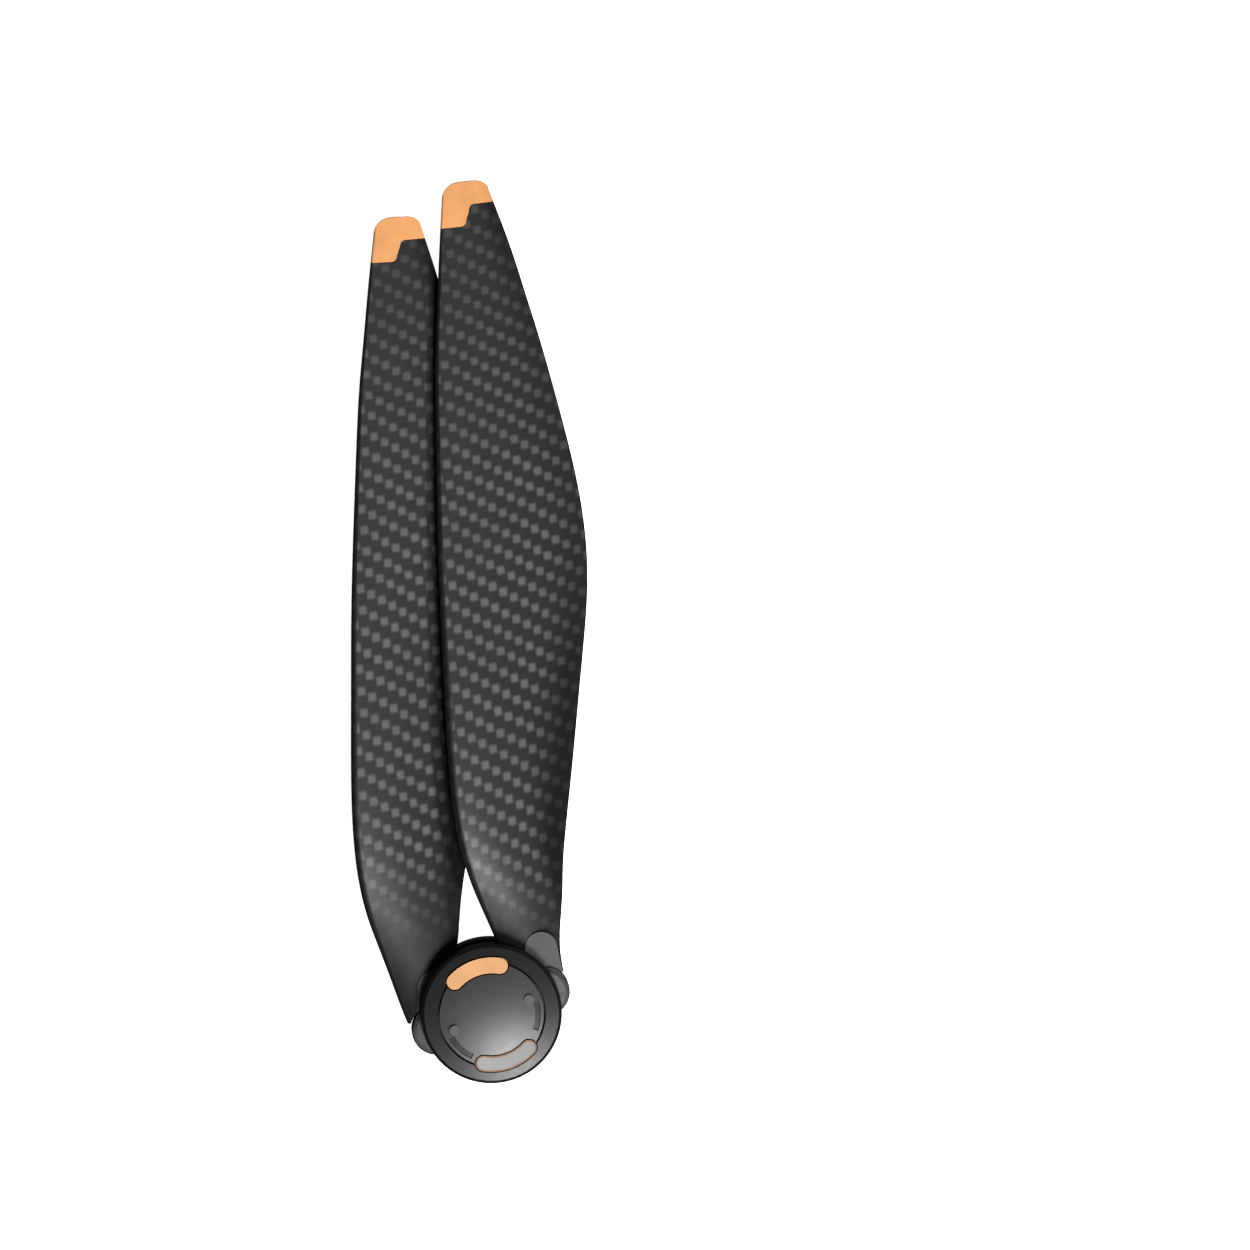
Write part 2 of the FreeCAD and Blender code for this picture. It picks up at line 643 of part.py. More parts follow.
def draw_tip_line(sketch, far_edge):
    """The stepped joint between blade and tip, closed by far_edge, a formula of distance along the blade."""
    wide = "blade_chord"
    long_line = "( blade_length - tip_long_edge )"
    short_line = "( blade_length - tip_short_edge )"
    foot = "tip_step_place - tip_step_lean / 2"
    head = "tip_step_place + tip_step_lean / 2"
    before = foot + " - tip_step_round"
    after = head + " + tip_step_round"
    draw_outline(sketch, [
        ("- " + wide, far_edge),
        ("- " + wide, long_line),
        (before, long_line),
        (foot, long_line + " + tip_step_round"),
        (head, short_line + " - tip_step_round"),
        (after, short_line),
        (wide, short_line),
        (wide, far_edge),
    ], arcs={2: {"centre_x": before, "bulge": QUARTER_ARC}, 4: {"centre_x": after, "bulge": -QUARTER_ARC}})


def make_blade(side):
    body = new_body(side + "_blade", **blade_placement(side))
    loft_blade(body)
    eye = new_sketch(body, "eye_room", "XY_Plane")
    draw_circle(eye, "eye_radius + root_gap")
    pocket(body, "eye_room_cut", eye)
    pocket(body, "tongue_seat_cut", draw_tongue(body, "tongue_seat"))
    tip = new_sketch(body, "tip_side", "XY_Plane")
    draw_tip_line(tip, "blade_length + blade_chord")
    pocket(body, "tip_cut", tip)


def make_blade_tip(side):
    body = new_body(side + "_blade_tip", **blade_placement(side))
    loft_blade(body)
    rest = new_sketch(body, "blade_side", "XY_Plane")
    draw_tip_line(rest, "- blade_chord")
    pocket(body, "blade_cut", rest)
    round_tip_corner(body, "front_corner", "-1", "lead", "tip_front_round")
    round_tip_corner(body, "rear_corner", "1", "trail", "tip_rear_round")


def round_tip_corner(body, name, side, edge, radius):
    """Cuts the corner between an edge of the blade and its end to a quarter circle.

    The circle starts where the edge, which runs inwards between the last two stations, has a
    radius left to go.
    """
    last = len(ROOT_STATIONS) + len(SPAN_STATIONS) - 1
    words = {"side": side, "radius": radius, "last": "%s_%d" % (edge, last),
             "before": "%s_%d" % (edge, last - 1),
             "run": "( %s - ( %s ) )" % (station_place(last), station_place(last - 1))}
    words["widening"] = "( %(before)s - %(last)s ) * %(radius)s / %(run)s" % words
    words["start"] = "( ( %(last)s + %(widening)s ) * blade_chord )" % words
    outside = "%(side)s * ( %(start)s + %(radius)s )" % words
    inside = "%(side)s * ( %(start)s - %(radius)s )" % words
    corner = new_sketch(body, name, "XY_Plane")
    draw_outline(corner, [
        (outside, "blade_length - " + radius),
        ("%(side)s * %(start)s" % words, "blade_length - " + radius),
        (inside, "blade_length"),
        (inside, "blade_length + " + radius),
        (outside, "blade_length + " + radius),
    ], arcs={1: {"centre_x": inside, "bulge": float(side) * QUARTER_ARC}})
    pocket(body, name + "_cut", corner)


def make_root_insert(side):
    """The moulded eye that turns on the pivot, with the tongue that holds the blade."""
    body = new_body(side + "_root_insert", **blade_placement(side))
    half = "%s / 2" % EYE_HEIGHT
    eye = new_sketch(body, "eye_half_section", "XZ_Plane")
    draw_outline(eye, [
        (EYE_BORE, "- " + half),
        ("eye_radius - eye_round", "- " + half),
        ("eye_radius", "eye_round - " + half),
        ("eye_radius", half + " - eye_round"),
        ("eye_radius - eye_round", half),
        (EYE_BORE, half),
    ], arcs={1: {"centre_x": "eye_radius - eye_round", "bulge": QUARTER_ARC},
             3: {"centre_x": "eye_radius - eye_round", "bulge": QUARTER_ARC}})
    revolve(body, "eye", eye)
    tongue = draw_tongue(body, "tongue_outline")
    tongue_pad = pad(body, "tongue", tongue, "2 * ( %s - tongue_drop )" % half)
    tongue_pad.SideType = "Symmetric"
    groove = new_sketch(body, "root_groove_section", "XZ_Plane")
    draw_outline(groove, [
        ("eye_radius", half + " - root_groove_depth"),
        ("eye_radius + root_groove_width", half + " - root_groove_depth"),
        ("eye_radius + root_groove_width", half + " + root_groove_depth"),
        ("eye_radius", half + " + root_groove_depth"),
    ])
    revolve(body, "root_groove", groove, "Groove")


def make_pivot(side):
    """Everything on one pivot: screw, nut, bearing sleeve and the two washers."""
    blade = blade_placement(side)
    fixed = {"angle": "pivot_line_angle", "x": blade["x"], "y": blade["y"]}
    moving = {"angle": blade["angle"], "x": blade["x"], "y": blade["y"]}
    screw = turned_part(side + "_pivot_screw", [
        ("0", "screw_head_sink"),
        ("screw_head_radius", "screw_head_sink"),
        ("screw_head_radius", HEAD_SEAT),
        ("shank_radius", HEAD_SEAT),
        ("shank_radius", SHELL_FLOOR),
        ("thread_radius", SHELL_FLOOR),
        ("thread_radius", SHELL_FLOOR + " + nut_height"),
        ("0", SHELL_FLOOR + " + nut_height"),
    ], **fixed)
    socket = new_sketch(screw, "hex_socket", "XY_Plane", "screw_head_sink")
    draw_outline(socket, [
        ("screw_socket_radius * cos( %d )" % angle, "screw_socket_radius * sin( %d )" % angle)
        for angle in range(0, 360, 60)
    ])
    pocket(screw, "hex_socket_cut", socket, "screw_socket_depth", upwards=True)
    turned_part(side + "_pivot_nut", [
        ("thread_radius", SHELL_FLOOR),
        ("nut_radius", SHELL_FLOOR),
        ("nut_radius", SHELL_FLOOR + " + nut_height"),
        ("thread_radius", SHELL_FLOOR + " + nut_height"),
    ], **fixed)
    washer_foot = {"lower": "( base_height + washer_clearance )",
                   "upper": "( base_height + slot_height - washer_clearance - washer_thickness )"}
    for place, foot in washer_foot.items():
        turned_part("%s_%s_washer" % (side, place), [
            (SHANK_HOLE, foot),
            ("washer_radius", foot),
            ("washer_radius", foot + " + washer_thickness"),
            (SHANK_HOLE, foot + " + washer_thickness"),
        ], **moving)
    sleeve_foot = "( base_height + washer_clearance + washer_thickness )"
    turned_part(side + "_pivot_sleeve", [
        (SHANK_HOLE, sleeve_foot),
        (EYE_BORE, sleeve_foot),
        (EYE_BORE, sleeve_foot + " + " + EYE_HEIGHT),
        (SHANK_HOLE, sleeve_foot + " + " + EYE_HEIGHT),
    ], **moving)


# ---------------------------------------------------------------- checks and files

def check_and_write():
    doc.recompute()
    for item in doc.Objects:
        if "Invalid" in item.State or "Error" in item.State:
            raise RuntimeError("%s failed: %s" % (item.Label, item.State))
    os.makedirs("parts", exist_ok=True)
    for body in sub_parts:
        shape = body.Shape
        if shape.isNull() or not shape.isValid() or not shape.Solids:
            raise RuntimeError("%s has no sound shape" % body.Label)
        print("%-22s solids %d  volume %.2f" % (body.Label, len(shape.Solids), shape.Volume))
        shape.exportStep("parts/%s.step" % body.Label)


write_sizes()
make_hub_base()
make_bayonet_plate()
make_spindle_bush()
make_hub_shell()
make_hub_cap()
make_marks()
for blade_side in ("right", "left"):
    make_blade(blade_side)
    make_blade_tip(blade_side)
    make_root_insert(blade_side)
    make_pivot(blade_side)
check_and_write()
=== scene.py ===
"""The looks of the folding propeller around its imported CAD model: materials, floor, light, camera."""
import math

import bpy
from mathutils import Matrix, Vector


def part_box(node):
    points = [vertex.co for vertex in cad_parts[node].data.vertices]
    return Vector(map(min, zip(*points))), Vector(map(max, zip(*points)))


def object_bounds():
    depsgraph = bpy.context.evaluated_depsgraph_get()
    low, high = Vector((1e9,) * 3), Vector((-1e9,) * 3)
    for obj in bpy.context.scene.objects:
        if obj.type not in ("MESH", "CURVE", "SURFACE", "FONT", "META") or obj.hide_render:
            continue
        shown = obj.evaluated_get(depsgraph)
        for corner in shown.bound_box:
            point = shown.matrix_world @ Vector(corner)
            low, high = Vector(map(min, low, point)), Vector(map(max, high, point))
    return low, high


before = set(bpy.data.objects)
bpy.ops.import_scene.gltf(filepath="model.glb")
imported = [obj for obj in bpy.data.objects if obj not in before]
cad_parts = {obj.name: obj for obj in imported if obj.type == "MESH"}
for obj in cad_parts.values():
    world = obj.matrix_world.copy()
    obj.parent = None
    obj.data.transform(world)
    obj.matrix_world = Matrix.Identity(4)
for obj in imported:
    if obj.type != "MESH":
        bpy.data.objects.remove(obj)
cad_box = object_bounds()

MM = 0.001
LOW, HIGH = cad_box
LENGTH = HIGH.y - LOW.y                       # the folded propeller's length
TIP_END = HIGH.y                              # how far the blades reach from the hub's axis


# ---------------------------------------------------------------- node helpers

class Shader:
    """One material's node tree, with short calls for the nodes that the looks below are made of."""

    def __init__(self, name):
        self.material = bpy.data.materials.new(name)
        self.material.use_nodes = True
        self.tree = self.material.node_tree
        self.surface = self.tree.nodes["Principled BSDF"]
        self.place = self.add("ShaderNodeTexCoord").outputs["Object"]

    @classmethod
    def around(cls, material):
        """More nodes for a material that is already made."""
        shader = cls.__new__(cls)
        shader.material = material
        shader.tree = material.node_tree
        shader.surface = shader.tree.nodes["Principled BSDF"]
        shader.place = shader.add("ShaderNodeTexCoord").outputs["Object"]
        return shader

    def add(self, kind, **settings):
        node = self.tree.nodes.new(kind)
        for name, value in settings.items():
            setattr(node, name, value)
        return node

    def feed(self, socket, value):
        """Sets a socket, from another node's output or from a plain value."""
        if isinstance(value, bpy.types.NodeSocket):
            self.tree.links.new(value, socket)
        else:
            socket.default_value = value

    def math(self, operation, *values, clamp=False):
        node = self.add("ShaderNodeMath", operation=operation, use_clamp=clamp)
        for index, value in enumerate(values):
            self.feed(node.inputs[index], value)
        return node.outputs[0]

    def ramp(self, value, start, end, low=0.0, high=1.0):
        """Goes smoothly from low to high while value goes from start to end."""
        node = self.add("ShaderNodeMapRange", interpolation_type="SMOOTHSTEP")
        self.feed(node.inputs["Value"], value)
        self.feed(node.inputs["From Min"], start)
        self.feed(node.inputs["From Max"], end)
        self.feed(node.inputs["To Min"], low)
        self.feed(node.inputs["To Max"], high)
        return node.outputs["Result"]

    def turned(self, angle, scale=(1.0, 1.0, 1.0)):
        """Object coordinates turned about Z, then scaled."""
        turn = self.add("ShaderNodeVectorRotate", rotation_type="Z_AXIS")
        self.feed(turn.inputs["Vector"], self.place)
        self.feed(turn.inputs["Angle"], angle)
        stretch = self.add("ShaderNodeVectorMath", operation="MULTIPLY")
        self.feed(stretch.inputs[0], turn.outputs["Vector"])
        self.feed(stretch.inputs[1], scale)
        return stretch.outputs["Vector"]

    def split(self, vector):
        node = self.add("ShaderNodeSeparateXYZ")
        self.feed(node.inputs[0], vector)
        return node.outputs[0], node.outputs[1], node.outputs[2]

    def noise(self, size, detail=2.0, roughness=0.5, where=None):
        """Noise whose features are about size metres across."""
        node = self.add("ShaderNodeTexNoise")
        self.feed(node.inputs["Vector"], where or self.place)
        self.feed(node.inputs["Scale"], 1.0 / size)
        self.feed(node.inputs["Detail"], detail)
        self.feed(node.inputs["Roughness"], roughness)
        return node.outputs["Fac"]

    def mix(self, share, first, second):
        node = self.add("ShaderNodeMix", data_type="RGBA")
        self.feed(node.inputs["Factor"], share)
        self.feed(node.inputs["A"], first)
        self.feed(node.inputs["B"], second)
        return node.outputs["Result"]

    def edge_wear(self, radius, threshold=0.35):
        """1 on sharp outer edges and 0 on flat faces, from the bevelled normal."""
        bevel = self.add("ShaderNodeBevel", samples=4)
        self.feed(bevel.inputs["Radius"], radius)
        flat = self.add("ShaderNodeNewGeometry").outputs["Normal"]
        dot = self.add("ShaderNodeVectorMath", operation="DOT_PRODUCT")
        self.feed(dot.inputs[0], bevel.outputs["Normal"])
        self.feed(dot.inputs[1], flat)
        return self.ramp(dot.outputs["Value"], 1.0, 1.0 - threshold)

    def bump(self, height, distance, strength=1.0, onto=None):
        node = self.add("ShaderNodeBump")
        self.feed(node.inputs["Height"], height)
        self.feed(node.inputs["Distance"], distance)
        self.feed(node.inputs["Strength"], strength)
        if onto is not None:
            self.feed(node.inputs["Normal"], onto)
        return node.outputs["Normal"]

    def finish(self, colour, roughness, normal=None, **plain):
        """Wires the surface. plain holds what is the same all over it, by the shader's socket names."""
        self.feed(self.surface.inputs["Base Color"], colour)
        self.feed(self.surface.inputs["Roughness"], roughness)
        if normal is not None:
            self.feed(self.surface.inputs["Normal"], normal)
        for name, value in plain.items():
            self.surface.inputs[name.replace("_", " ")].default_value = value
        return self.material


def grey(level, warmth=0.0):
    """A linear colour near grey. warmth shifts it from blue to red."""
    return (level * (1 + warmth), level, level * (1 - warmth), 1.0)


# ---------------------------------------------------------------- carbon blades

TOW_WIDTH = 1.36 * MM            # the width of a light square, across the blade
ROOT_TOWS_PER_MM = 0.925         # along the blade; the tows lie closer together towards the tip
TOW_CLOSING = 0.00072            # how many more tows there are in a mm, for each mm towards the tip
TWILL_ENDS = 3                   # every third crossing along a row is light
WEAVE_TURN = {"right_blade": math.radians(-7.0), "left_blade": math.radians(-6.0)}
WANDER = 0.36                    # how far the tows stray from straight, in tow widths
WANDER_SIZE = 6 * MM
CROSSING_EDGE = (0.84, 0.28)     # where a light square starts and is full, in tows from its middle
COLUMN_EDGE = (0.56, 0.18)
TOW_EDGE = (0.52, 0.30)          # where a tow's side falls away, in tows from its middle

CARBON_DARK = 0.018
CARBON_LIGHT = 0.092
CARBON_WARMTH = 0.02
CARBON_EDGE_SHADE = 0.004            # painted edge shade: the colour's level along the edges, where the face rolls away from the light
EDGE_SHADE_SHARE = 0.80              # how strongly the painted edge shade covers the weave
# how much darker the colour gets towards the hub
ROOT_SHARE = 0.60

ROOT_FADE = (6 * MM, 24 * MM)    # where the weave fades in and the colour stops darkening towards the hub, from the hub's axis
TIP_FADE = (6 * MM, 45 * MM)     # where it starts to fade, from the tips' end
TIP_STRENGTH = 0.45
EDGE_SHADE_FADE = 0.35               # how much the painted edge shade weakens the light squares

PITCH_LEAN_ROOT = 0.366          # the sideways lean of the blade's face: the sine of its pitch
PITCH_LEAN_TIP = 0.182
LEAN_START = 34 * MM             # where the pitch is greatest
TRAILING_ROLL = (0.07, 0.24)     # the lean past the face's own, where the painted edge shade starts and is full
LEADING_ROLL = (-0.18, -0.40)

FIBRE_STRETCH = (9000.0, 400.0)  # fibres are fine noise across themselves and coarse along themselves
CARBON_ROUGH = (0.40, 0.46)
LIGHT_GLOSS = 0.05               # how much smoother the light squares are
ROOT_DULLNESS = 0.18
TOW_DEPTH = 0.012 * MM
FIBRE_DEPTH = 0.004 * MM


def twill(shader, angle):
    """The woven pattern: the light squares, the crossings that they mark, and the height of the tows."""
    across, along, _ = shader.split(shader.turned(angle, (1 / MM, 1 / MM, 1 / MM)))
    across = shader.math("DIVIDE", across, TOW_WIDTH / MM)
    closing = shader.math("MULTIPLY_ADD", along, TOW_CLOSING, ROOT_TOWS_PER_MM)
    along = shader.math("MULTIPLY", along, closing)
    wobble = shader.math("MULTIPLY_ADD", shader.noise(WANDER_SIZE), WANDER, -WANDER / 2)
    across = shader.math("ADD", across, wobble)
    along = shader.math("ADD", along, wobble)
    column = shader.math("FLOOR", across)
    diagonal = shader.math("DIVIDE", shader.math("ADD", along, column), float(TWILL_ENDS))
    nearest = shader.math("SUBTRACT", shader.math("FRACT", diagonal), 0.5)
    from_crossing = shader.math("MULTIPLY", shader.math("ABSOLUTE", nearest), float(TWILL_ENDS))
    from_column = shader.math("ABSOLUTE", shader.math("SUBTRACT", shader.math("FRACT", across), 0.5))
    from_row = shader.math("ABSOLUTE", shader.math("SUBTRACT", shader.math("FRACT", along), 0.5))
    square = shader.math("MULTIPLY", shader.ramp(from_crossing, *CROSSING_EDGE),
                         shader.ramp(from_column, *COLUMN_EDGE))
    over = shader.math("LESS_THAN", from_crossing, 0.5)
    tow = shader.math("MULTIPLY", shader.ramp(from_column, *TOW_EDGE), shader.ramp(from_row, *TOW_EDGE))
    return square, over, tow


def edge_roll_shade(shader, along):
    """1 where the upper face rolls over towards either edge: the mask of the painted shade that darkens
    both edges.
    """
    normal_x, _, normal_z = shader.split(shader.add("ShaderNodeTexCoord").outputs["Normal"])
    lean = shader.add("ShaderNodeMapRange")
    shader.feed(lean.inputs["Value"], along)
    shader.feed(lean.inputs["From Min"], LEAN_START)
    shader.feed(lean.inputs["From Max"], TIP_END)
    shader.feed(lean.inputs["To Min"], PITCH_LEAN_ROOT)
    shader.feed(lean.inputs["To Max"], PITCH_LEAN_TIP)
    rolled = shader.math("SUBTRACT", normal_x, lean.outputs["Result"])
    either = shader.math("MAXIMUM", shader.ramp(rolled, *TRAILING_ROLL), shader.ramp(rolled, *LEADING_ROLL))
    upper = shader.math("GREATER_THAN", normal_z, 0.0)
    return shader.math("MULTIPLY", either, upper)


def weave_strength(shader, along, root_fade, edge_shade):
    """How clearly the weave shows: less by the hub, the tip and under the painted edge shade, and uneven in
    patches.
    """
    tip_fade = shader.ramp(along, TIP_END - TIP_FADE[0], TIP_END - TIP_FADE[1], TIP_STRENGTH, 1.0)
    patches = shader.ramp(shader.noise(9 * MM, detail=3.0), 0.25, 0.75, 0.78, 1.0)
    strength = shader.math("MULTIPLY", shader.math("MULTIPLY", root_fade, tip_fade), patches)
    return shader.math("MULTIPLY", strength, shader.math("MULTIPLY_ADD", edge_shade, -EDGE_SHADE_FADE, 1.0))


def fibre_grain(shader, over):
    """The tows' single fibres, which run across the blade where over is 1 and along it elsewhere."""
    fine, coarse = FIBRE_STRETCH
    fibres_across = shader.noise(1.0, detail=1.0, where=shader.turned(0.0, (coarse, fine, coarse)))
    fibres_along = shader.noise(1.0, detail=1.0, where=shader.turned(0.0, (fine, coarse, coarse)))
    fibres = shader.add("ShaderNodeMix", data_type="FLOAT")
    shader.feed(fibres.inputs["Factor"], over)
    shader.feed(fibres.inputs["A"], fibres_along)
    shader.feed(fibres.inputs["B"], fibres_across)
    return fibres.outputs["Result"]


def carbon(node):
    """Satin carbon twill. The squares fade towards the hub and the tip, where resin lies over them; painted
    shade darkens the edges, and the colour is darker towards the hub.
    """
    shader = Shader("carbon_" + node)
    square, over, tow = twill(shader, WEAVE_TURN[node])
    _, along, _ = shader.split(shader.place)
    root_fade = shader.ramp(along, *ROOT_FADE)
    near_hub = shader.math("SUBTRACT", 1.0, root_fade)
    edge_shade = edge_roll_shade(shader, along)
    strength = weave_strength(shader, along, root_fade, edge_shade)
    fibres = fibre_grain(shader, over)

    light = shader.math("MULTIPLY", square, strength)
    light = shader.math("MULTIPLY", light, shader.ramp(fibres, 0.2, 0.8, 0.86, 1.0))
    colour = shader.mix(light, grey(CARBON_DARK, CARBON_WARMTH), grey(CARBON_LIGHT, CARBON_WARMTH))
    # Painted shade along both edges, where the face rolls away, and a darker colour towards the hub.
    darkening = shader.math("MAXIMUM", shader.math("MULTIPLY", edge_shade, EDGE_SHADE_SHARE),
                        shader.math("MULTIPLY", near_hub, ROOT_SHARE))
    colour = shader.mix(darkening, colour, grey(CARBON_EDGE_SHADE))

    roughness = shader.ramp(shader.noise(2.5 * MM), 0.2, 0.8, *CARBON_ROUGH)
    roughness = shader.math("ADD", roughness, shader.math("MULTIPLY", light, -LIGHT_GLOSS))
    roughness = shader.math("ADD", roughness, shader.math("MULTIPLY", near_hub, ROOT_DULLNESS))

    height = shader.math("ADD", shader.math("MULTIPLY", tow, 0.6), shader.math("MULTIPLY", light, 0.4))
    normal = shader.bump(shader.math("MULTIPLY", height, strength), TOW_DEPTH, 0.8)
    normal = shader.bump(fibres, FIBRE_DEPTH, 0.5, onto=normal)
    return shader.finish(colour, roughness, normal, Specular_IOR_Level=0.48)


# ---------------------------------------------------------------- moulded plastics

def moulded(name, colour, worn, roughness, grain=0.25 * MM, depth=0.006 * MM, patch=0.12, **plain):
    """Injection-moulded plastic: a fine spark-eroded grain, faint flow clouding and rubbed edges."""
    shader = Shader(name)
    clouds = shader.ramp(shader.noise(5 * MM, detail=3.0), 0.25, 0.75)
    darker = tuple(channel * (1 - patch) for channel in colour[:3]) + (1.0,)
    lighter = tuple(channel * (1 + patch) for channel in colour[:3]) + (1.0,)
    base = shader.mix(clouds, darker, lighter)
    speckle = shader.noise(grain, detail=3.0, roughness=0.6)
    wear = shader.math("MULTIPLY", shader.edge_wear(0.12 * MM),
                       shader.ramp(shader.noise(1.2 * MM, detail=3.0), 0.35, 0.7))
    base = shader.mix(wear, base, worn)
    rough = shader.ramp(speckle, 0.2, 0.8, roughness - 0.05, roughness + 0.05)
    rough = shader.math("ADD", rough, shader.math("MULTIPLY", wear, -0.08))
    normal = shader.bump(speckle, depth, 0.7)
    return shader.finish(base, rough, normal, **plain)


# Painted shade on the root insert around the pivot.
PIVOT_SHADE = grey(0.010)
PIVOT_SHADE_SHARE = 0.75
PIVOT_SHADE_EDGE = (4.2 * MM, 3.2 * MM)    # where the painted shade starts and is full, from the pivot's middle
PIVOT_SHADE_WOBBLE = 0.8 * MM


def insert_plastic(side):
    """The root insert's plastic, with painted shade darkening it around the pivot."""
    look = moulded("insert_plastic_look_" + side, grey(0.055), grey(0.10), 0.55)
    shader = Shader.around(look)
    plain = shader.surface.inputs["Base Color"].links[0].from_socket
    low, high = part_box(side + "_pivot_sleeve")
    middle = (low + high) / 2
    away = shader.add("ShaderNodeVectorMath", operation="DISTANCE")
    shader.feed(away.inputs[0], shader.place)
    shader.feed(away.inputs[1], middle)
    shade_wobble = shader.math("MULTIPLY_ADD", shader.noise(1.5 * MM, detail=3.0), PIVOT_SHADE_WOBBLE, -PIVOT_SHADE_WOBBLE / 2)
    distance = shader.math("ADD", away.outputs["Value"], shade_wobble)
    pivot_shade = shader.ramp(distance, *PIVOT_SHADE_EDGE, 0.0, PIVOT_SHADE_SHARE)
    shader.feed(shader.surface.inputs["Base Color"], shader.mix(pivot_shade, plain, PIVOT_SHADE))
    return look


def washer_material():
    """A dark slippery plastic washer, with rings worn into it by the turning blade."""
    shader = Shader("washer_plastic_look")
    worn = shader.noise(0.8 * MM, detail=3.0)
    colour = shader.mix(shader.ramp(worn, 0.3, 0.7), grey(0.035), grey(0.060))
    roughness = shader.ramp(worn, 0.2, 0.8, 0.30, 0.45)
    return shader.finish(colour, roughness, shader.bump(worn, 0.003 * MM, 0.6))


# ---------------------------------------------------------------- metals

def metal(name, bright, dull, roughness):
    """Turned metal: fine lathe streaks, and dull patches where it has oxidised."""
    shader = Shader(name)
    patches = shader.ramp(shader.noise(0.9 * MM, detail=4.0), 0.35, 0.70)
    streaks = shader.noise(1.0, detail=2.0, where=shader.turned(0.0, (1500.0, 1500.0, 16000.0)))
    colour = shader.mix(patches, bright, dull)
    rough = shader.math("ADD", shader.ramp(streaks, 0.2, 0.8, roughness - 0.06, roughness + 0.06),
                        shader.math("MULTIPLY", patches, 0.12))
    normal = shader.bump(streaks, 0.002 * MM, 0.6)
    return shader.finish(colour, rough, normal, Metallic=1.0)


# ---------------------------------------------------------------- which node gets what

HUB_PLASTIC = moulded("hub_plastic_look", grey(0.006), grey(0.014), 0.37, Specular_IOR_Level=0.5)
CAP_PLASTIC = moulded("cap_plastic_look", grey(0.022), grey(0.045), 0.36, Specular_IOR_Level=0.8)
ORANGE_MARK = moulded("orange_mark_look", (0.46, 0.24, 0.105, 1.0), (0.52, 0.30, 0.16, 1.0), 0.70)
ORANGE_TIP = moulded("orange_tip_look", (0.66, 0.30, 0.11, 1.0), (0.56, 0.24, 0.08, 1.0), 0.50)
GREY_MARK = moulded("grey_mark_look", grey(0.21), grey(0.26), 0.65)
MARK_FRAME = moulded("mark_frame_look", (0.16, 0.075, 0.035, 1.0), (0.25, 0.12, 0.06, 1.0), 0.5)
WASHER = washer_material()
STEEL = metal("steel_look", grey(0.52), grey(0.36), 0.30)
BRASS = metal("brass_look", (0.62, 0.45, 0.20, 1.0), (0.42, 0.29, 0.13, 1.0), 0.32)

LOOKS = {
    "hub_base": HUB_PLASTIC,
    "hub_top_shell": HUB_PLASTIC,
    "hub_cap": CAP_PLASTIC,
    "orange_mark": ORANGE_MARK,
    "grey_mark_frame": MARK_FRAME,
    "grey_mark": GREY_MARK,
    "bayonet_plate": STEEL,
    "spindle_bush": BRASS,
}
for side in ("right", "left"):
    LOOKS[side + "_blade"] = carbon(side + "_blade")
    LOOKS[side + "_blade_tip"] = ORANGE_TIP
    LOOKS[side + "_root_insert"] = insert_plastic(side)
    LOOKS[side + "_pivot_screw"] = STEEL
    LOOKS[side + "_pivot_nut"] = BRASS
    LOOKS[side + "_lower_washer"] = WASHER
    LOOKS[side + "_upper_washer"] = WASHER
    LOOKS[side + "_pivot_sleeve"] = BRASS

for name, look in LOOKS.items():
    for material_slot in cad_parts[name].material_slots:
        material_slot.material = look


# ---------------------------------------------------------------- floor and light

FLOOR_GLOW = 1.00                # the floor lights itself, like a light table, so shadows are faint
FLOOR_GAP = 0.02 * MM            # below the hub


def make_floor():
    """A pale matt light table, just under the hub. It sheds no light on the object."""
    reach = 12 * LENGTH
    mesh = bpy.data.meshes.new("floor")
    corners = [(-reach, -reach), (reach, -reach), (reach, reach), (-reach, reach)]
    mesh.from_pydata([(x, y, LOW.z - FLOOR_GAP) for x, y in corners], [], [(0, 1, 2, 3)])
    floor = bpy.data.objects.new("floor", mesh)
    bpy.context.scene.collection.objects.link(floor)
    shader = Shader("floor_look")
    tone = shader.ramp(shader.noise(0.3), 0.3, 0.7)
    mesh.materials.append(shader.finish(shader.mix(tone, grey(0.88), grey(0.92)), 0.9,
                                        Emission_Color=grey(1.0), Emission_Strength=FLOOR_GLOW))
    floor.visible_diffuse = False
    floor.visible_glossy = False


def softbox(name, place, width, height, power, glossy=True):
    """A square-cornered soft light at place, in lengths of the object, facing the middle of it."""
    data = bpy.data.lights.new(name, "AREA")
    data.shape = "RECTANGLE"
    data.size = width * LENGTH
    data.size_y = height * LENGTH
    data.energy = power
    lamp = bpy.data.objects.new(name, data)
    middle = (LOW + HIGH) / 2
    lamp.location = middle + Vector(place) * LENGTH
    lamp.rotation_mode = "QUATERNION"
    lamp.rotation_quaternion = (middle - lamp.location).to_track_quat("-Z", "Y")
    lamp.visible_glossy = glossy
    bpy.context.scene.collection.objects.link(lamp)


SKY = grey(0.055)                # overhead
NADIR = grey(0.03)               # at the horizon and below
SKY_RISE = 0.6                   # how high up the sky reaches its overhead level


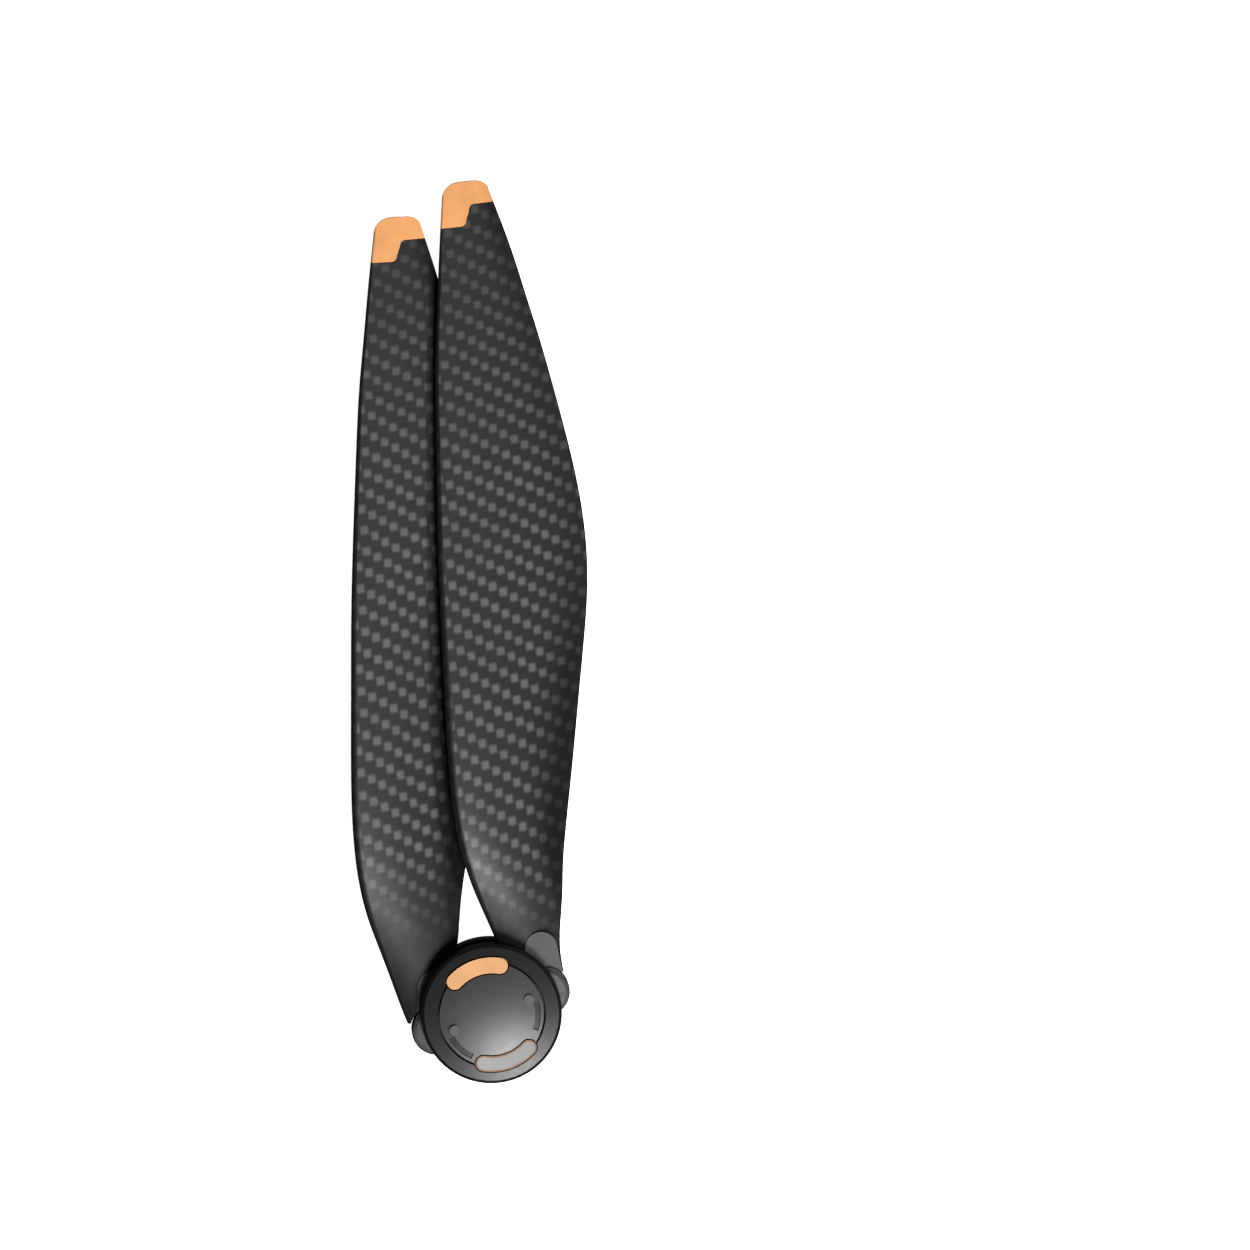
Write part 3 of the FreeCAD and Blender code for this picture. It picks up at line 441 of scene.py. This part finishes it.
def make_lights():
    """A key light on the right, a softbox over the hub's end that shows as sheen, and a dim sky."""
    world = bpy.data.worlds.new("studio")
    world.use_nodes = True
    tree = world.node_tree
    direction = tree.nodes.new("ShaderNodeTexCoord")
    parts = tree.nodes.new("ShaderNodeSeparateXYZ")
    height = tree.nodes.new("ShaderNodeMapRange")
    sky = tree.nodes.new("ShaderNodeMix")
    sky.data_type = "RGBA"
    sky.inputs["A"].default_value = NADIR
    sky.inputs["B"].default_value = SKY
    height.inputs["From Min"].default_value = 0.0
    height.inputs["From Max"].default_value = SKY_RISE
    tree.links.new(direction.outputs["Generated"], parts.inputs[0])
    tree.links.new(parts.outputs[2], height.inputs["Value"])
    tree.links.new(height.outputs["Result"], sky.inputs["Factor"])
    tree.links.new(sky.outputs["Result"], tree.nodes["Background"].inputs["Color"])
    tree.nodes["Background"].inputs["Strength"].default_value = 1.0
    bpy.context.scene.world = world
    softbox("key_light", (1.75, -0.7, 2.6), 0.5, 0.6, 1.8, glossy=False)
    softbox("sheen_light", (0.60, -1.9, 2.6), 0.9, 1.2, 1.4)


# ---------------------------------------------------------------- camera

LENS = 300.0                     # a long lens: the picture has almost no perspective
SENSOR = 36.0
PICTURE_WIDTH = 1.381            # what the picture spans, in lengths of the object
AIM_RIGHT = 0.1493               # the picture's middle from the hub's axis, in lengths of the object
AIM_UP = 0.429
AIM_HEIGHT = 0.5                 # in heights of the object
TILT_TO_TIPS = math.radians(7.0)
TILT_TO_LEFT = math.radians(3.0)


def make_camera():
    """Looks down on the propeller from over the tips and a little to the left, with the tips upwards."""
    data = bpy.data.cameras.new("camera")
    data.lens = LENS
    data.sensor_width = SENSOR
    camera = bpy.data.objects.new("camera", data)
    bpy.context.scene.collection.objects.link(camera)
    aim = Vector((AIM_RIGHT * LENGTH, AIM_UP * LENGTH, LOW.z + AIM_HEIGHT * (HIGH.z - LOW.z)))
    back = Vector((-math.tan(TILT_TO_LEFT), math.tan(TILT_TO_TIPS), 1.0)).normalized()
    right = Vector((0.0, 1.0, 0.0)).cross(back).normalized()
    up = back.cross(right)
    distance = PICTURE_WIDTH * LENGTH * LENS / SENSOR
    camera.matrix_world = Matrix.Translation(aim + back * distance) @ Matrix(
        (right, up, back)).transposed().to_4x4()
    data.clip_start = distance / 100
    data.clip_end = distance * 10
    bpy.context.scene.camera = camera


make_floor()
make_lights()
make_camera()
bpy.context.scene.view_settings.view_transform = "Standard"
